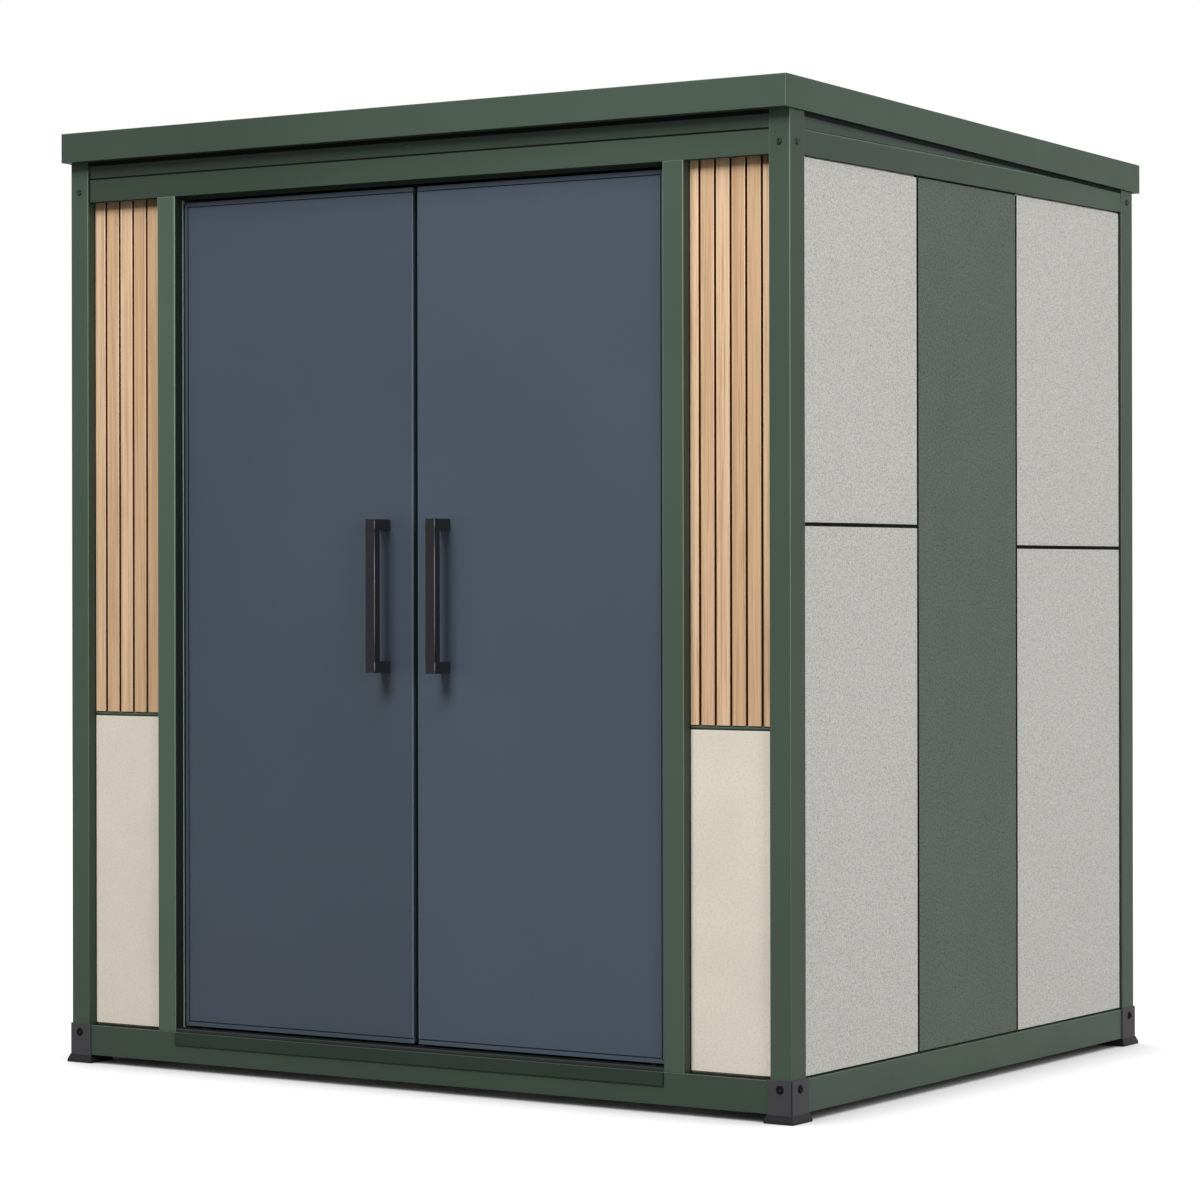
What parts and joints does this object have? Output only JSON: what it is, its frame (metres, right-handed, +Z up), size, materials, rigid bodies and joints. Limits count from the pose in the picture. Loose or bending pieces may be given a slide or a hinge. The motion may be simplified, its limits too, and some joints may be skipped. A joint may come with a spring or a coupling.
{
  "type": "garden storage shed",
  "caption": "Metal garden storage shed with a green post frame, slate double doors, wood-look slats, stone-look side panels and a flat roof.",
  "frame": {"origin": "on the ground under the centre of the post frame", "axes": "+X to the right seen from the front, +Y from the front to the rear, +Z up"},
  "size_m": [1.906, 1.65, 2.104],
  "materials": {
    "green_frame": "satin dark green coat",
    "slate_door": "satin slate blue coat",
    "timber_slats": "light oiled slats",
    "cream_panel": "matt cream coat",
    "stone_panel": "fine light grey speckle",
    "moss_panel": "rough dark green texture",
    "dark_strip": "matt dark green",
    "charcoal_foot": "matt charcoal coat",
    "zinc_steel": "galvanised",
    "black_handle": "satin black coat"
  },
  "bodies": {
    "shed": {"post_front_left": "green_frame", "post_front_right": "green_frame", "post_rear_left": "green_frame", "post_rear_right": "green_frame", "base_rail_front": "green_frame", "base_rail_rear": "green_frame", "base_rail_left": "green_frame", "base_rail_right": "green_frame", "head_rail_front": "green_frame", "head_rail_rear": "green_frame", "head_rail_left": "green_frame", "head_rail_right": "green_frame", "jamb_left": "green_frame", "jamb_right": "green_frame", "threshold_lip": "green_frame", "front_joint_strips": "green_frame", "roof_sheet": "green_frame", "fascia_front": "green_frame", "fascia_rear": "green_frame", "fascia_left": "green_frame", "fascia_right": "green_frame", "right_front_panels": "stone_panel", "right_rear_panels": "stone_panel", "left_front_panels": "stone_panel", "left_rear_panels": "stone_panel", "rear_left_panels": "stone_panel", "rear_right_panels": "stone_panel", "right_centre_panel": "moss_panel", "left_centre_panel": "moss_panel", "rear_centre_panel": "moss_panel", "right_joint_strips": "dark_strip", "left_joint_strips": "dark_strip", "rear_joint_strips": "dark_strip", "threshold": "dark_strip", "corner_feet": "charcoal_foot", "slat_panel_left": "timber_slats", "slat_panel_right": "timber_slats", "lower_panel_left": "cream_panel", "lower_panel_right": "cream_panel", "floor_deck": "zinc_steel", "floor_bearers": "zinc_steel", "roof_purlins": "zinc_steel"},
    "left_door": {"door_left": "slate_door", "handle_left": "black_handle"},
    "right_door": {"door_right": "slate_door", "handle_right": "black_handle"}
  },
  "joints": [
    {"name": "left_door_hinge", "type": "hinge", "parent": "shed", "child": "left_door", "pos_m": [-0.594, -0.755, 0.099], "axis": [0, 0, -1], "range_deg": [0, 105]},
    {"name": "right_door_hinge", "type": "hinge", "parent": "shed", "child": "right_door", "pos_m": [0.594, -0.755, 0.099], "axis": [0, 0, 1], "range_deg": [0, 105]}
  ]
}
